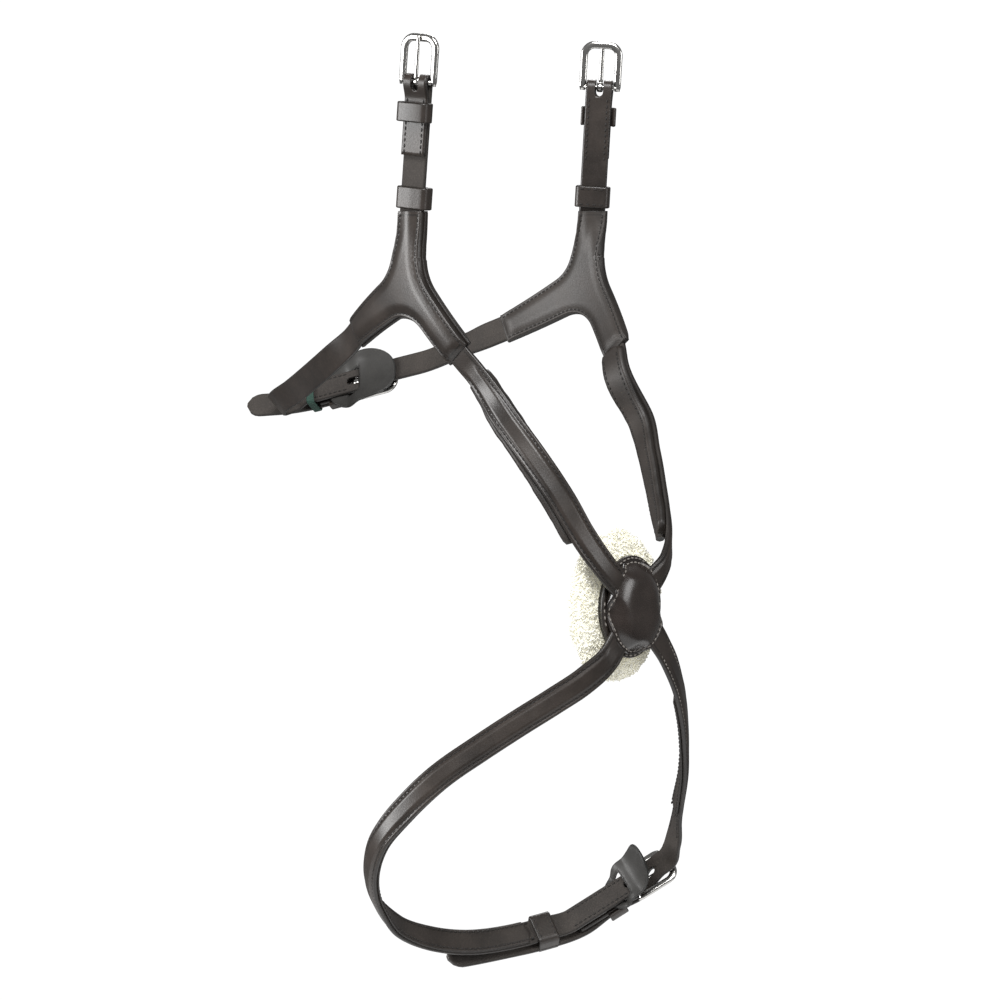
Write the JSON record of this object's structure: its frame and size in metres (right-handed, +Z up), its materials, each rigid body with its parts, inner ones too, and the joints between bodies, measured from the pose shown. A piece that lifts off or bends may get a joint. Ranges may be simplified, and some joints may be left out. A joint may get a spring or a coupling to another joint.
{
  "type": "crossover noseband",
  "caption": "Crossover noseband: two padded straps crossing under a sheepskin-backed nose disc, cheek pieces with buckled hangers, chin strap and jaw strap.",
  "frame": {"origin": "midway between the forks of the two cheek pieces, where the head's middle plane is", "axes": "+X forward along the horse's nose, +Y to the horse's left, +Z up"},
  "size_m": [0.3494, 0.2124, 0.5624],
  "materials": {
    "bridle_leather": "dressed, semi-gloss",
    "lining_leather": "soft, matt",
    "guard_leather": "soft, matt",
    "glazed_leather": "glazed, glossy",
    "stainless_steel": "polished",
    "sheepskin": "woolly",
    "felt": "felted",
    "elastic": "woven elastic"
  },
  "bodies": {
    "noseband": {"chin_buckle_guard": "guard_leather", "chin_fixed_keeper": "bridle_leather", "chin_lining_left": "lining_leather", "chin_lining_right": "lining_leather", "crossover_strap_left": "bridle_leather", "crossover_strap_right": "bridle_leather", "jaw_buckle_guard": "guard_leather", "jaw_fixed_keeper": "bridle_leather", "jaw_strap_left": "bridle_leather", "jaw_strap_right": "bridle_leather", "left_cheek_core": "felt", "left_cheek_lining": "lining_leather", "left_cheek_shape": "bridle_leather", "left_front_pad": "lining_leather", "left_hanger_fixed_keeper": "bridle_leather", "left_hanger_strap": "bridle_leather", "nose_cover": "glazed_leather", "nose_felt": "felt", "nose_plate": "bridle_leather", "nose_sheepskin": "sheepskin", "right_cheek_core": "felt", "right_cheek_lining": "lining_leather", "right_cheek_shape": "bridle_leather", "right_front_pad": "lining_leather", "right_hanger_fixed_keeper": "bridle_leather", "right_hanger_strap": "bridle_leather"},
    "right_hanger_buckle": {"right_hanger_buckle": "stainless_steel"},
    "right_hanger_tongue": {"right_hanger_tongue": "stainless_steel"},
    "right_hanger_sliding_keeper": {"right_hanger_sliding_keeper": "bridle_leather"},
    "left_hanger_buckle": {"left_hanger_buckle": "stainless_steel"},
    "left_hanger_tongue": {"left_hanger_tongue": "stainless_steel"},
    "left_hanger_sliding_keeper": {"left_hanger_sliding_keeper": "bridle_leather"},
    "chin_buckle": {"chin_buckle": "stainless_steel"},
    "chin_tongue": {"chin_tongue": "stainless_steel"},
    "chin_sliding_keeper": {"chin_sliding_keeper": "bridle_leather"},
    "jaw_buckle": {"jaw_buckle": "stainless_steel"},
    "jaw_tongue": {"jaw_tongue": "stainless_steel"},
    "jaw_keeper_band": {"jaw_keeper_band": "elastic"}
  },
  "joints": [
    {"name": "right_hanger_buckle_turn", "type": "hinge", "parent": "noseband", "child": "right_hanger_buckle", "pos_m": [0.01164, -0.07901, 0.12203], "axis": [0.9658, 0.2408, -0.0964], "range_deg": [-45, 45]},
    {"name": "right_hanger_tongue_lift", "type": "hinge", "parent": "right_hanger_buckle", "child": "right_hanger_tongue", "pos_m": [0.01164, -0.07901, 0.12203], "axis": [0.9658, 0.2408, -0.0964], "range_deg": [0, 75]},
    {"name": "right_hanger_keeper_slide", "type": "slide", "parent": "noseband", "child": "right_hanger_sliding_keeper", "axis": [0.0994, 0, 0.9951], "range_m": [0, 0.009]},
    {"name": "left_hanger_buckle_turn", "type": "hinge", "parent": "noseband", "child": "left_hanger_buckle", "pos_m": [0.00739, 0.07851, 0.12204], "axis": [-0.8074, -0.5866, 0.0625], "range_deg": [-45, 45]},
    {"name": "left_hanger_tongue_lift", "type": "hinge", "parent": "left_hanger_buckle", "child": "left_hanger_tongue", "pos_m": [0.00739, 0.07851, 0.12204], "axis": [-0.8074, -0.5866, 0.0625], "range_deg": [0, 75]},
    {"name": "left_hanger_keeper_slide", "type": "slide", "parent": "noseband", "child": "left_hanger_sliding_keeper", "axis": [0.0772, 0, 0.997], "range_m": [-0.0012, 0.009]},
    {"name": "chin_buckle_turn", "type": "hinge", "parent": "noseband", "child": "chin_buckle", "pos_m": [0.031, 0.085, -0.365], "axis": [-0.7733, 0.171, 0.6106], "range_deg": [-1.5, 1.5]},
    {"name": "chin_tongue_lift", "type": "hinge", "parent": "chin_buckle", "child": "chin_tongue", "pos_m": [0.031, 0.085, -0.365], "axis": [-0.7733, 0.171, 0.6106], "range_deg": [0, 3]},
    {"name": "jaw_buckle_turn", "type": "hinge", "parent": "noseband", "child": "jaw_buckle", "pos_m": [-0.1594, 0.0323, -0.0615], "axis": [-0.4339, 0.3854, 0.8144], "range_deg": [-1.5, 1.5]},
    {"name": "jaw_tongue_lift", "type": "hinge", "parent": "jaw_buckle", "child": "jaw_tongue", "pos_m": [-0.1594, 0.0323, -0.0615], "axis": [-0.4339, 0.3854, 0.8144], "range_deg": [0, 3]},
    {"name": "chin_keeper_slide", "type": "slide", "parent": "noseband", "child": "chin_sliding_keeper", "axis": [0.4657, 0.8562, 0.2236], "range_m": [-0.0025, 0.0025]},
    {"name": "jaw_band_slide", "type": "slide", "parent": "noseband", "child": "jaw_keeper_band", "axis": [0.8619, 0.4409, 0.2505], "range_m": [-0.0003, 0.006]}
  ]
}
